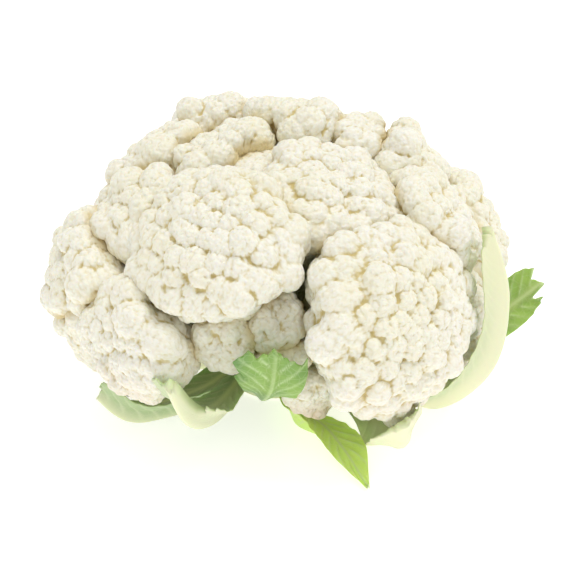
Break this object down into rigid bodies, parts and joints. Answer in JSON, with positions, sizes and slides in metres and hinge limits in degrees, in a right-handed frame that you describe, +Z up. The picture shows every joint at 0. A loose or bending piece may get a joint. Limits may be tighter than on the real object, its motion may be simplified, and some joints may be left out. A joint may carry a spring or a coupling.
{
  "type": "cauliflower",
  "caption": "Head of cauliflower: cream lobed florets packed round a stem that is cut flat to stand on, with trimmed pale green leaf bases under and beside them.",
  "frame": {"origin": "centre of the stem's flat cut face, which the head stands on", "axes": "+Z up through the stem to the crown, -Y towards the front where the leaves are most open, +X towards the tall right-hand leaf"},
  "size_m": [0.2055, 0.1777, 0.1138],
  "materials": {
    "curd": "matt",
    "stem": "matt",
    "leaf_pale": "satin",
    "leaf_green": "satin"
  },
  "bodies": {
    "root": {"stem": "stem", "floret_front_right": "curd", "floret_front_left": "curd", "floret_front_upper": "curd", "floret_small_low": "curd", "floret_small_left": "curd", "floret_small_right": "curd", "floret_front_middle": "curd", "floret_centre": "curd", "floret_crown_left": "curd", "floret_small_crown": "curd", "floret_crown_right": "curd", "floret_left": "curd", "floret_left_low": "curd", "floret_left_shoulder": "curd", "floret_left_upper": "curd", "floret_top_back_left": "curd", "floret_top_right": "curd", "floret_right_shoulder": "curd", "floret_right_upper": "curd", "floret_right": "curd", "floret_right_low": "curd", "floret_back_left": "curd", "floret_back_right": "curd", "floret_back_far_right": "curd", "floret_back_far_left": "curd", "leaf_front_left": "leaf_pale", "leaf_curled": "leaf_pale", "leaf_torn": "leaf_green", "leaf_pointed": "leaf_green", "leaf_front_right": "leaf_pale", "leaf_right": "leaf_pale", "leaf_far_right": "leaf_green", "leaf_back_right": "leaf_pale", "leaf_back": "leaf_pale", "leaf_back_left": "leaf_pale", "leaf_left": "leaf_pale"}
  },
  "joints": []
}
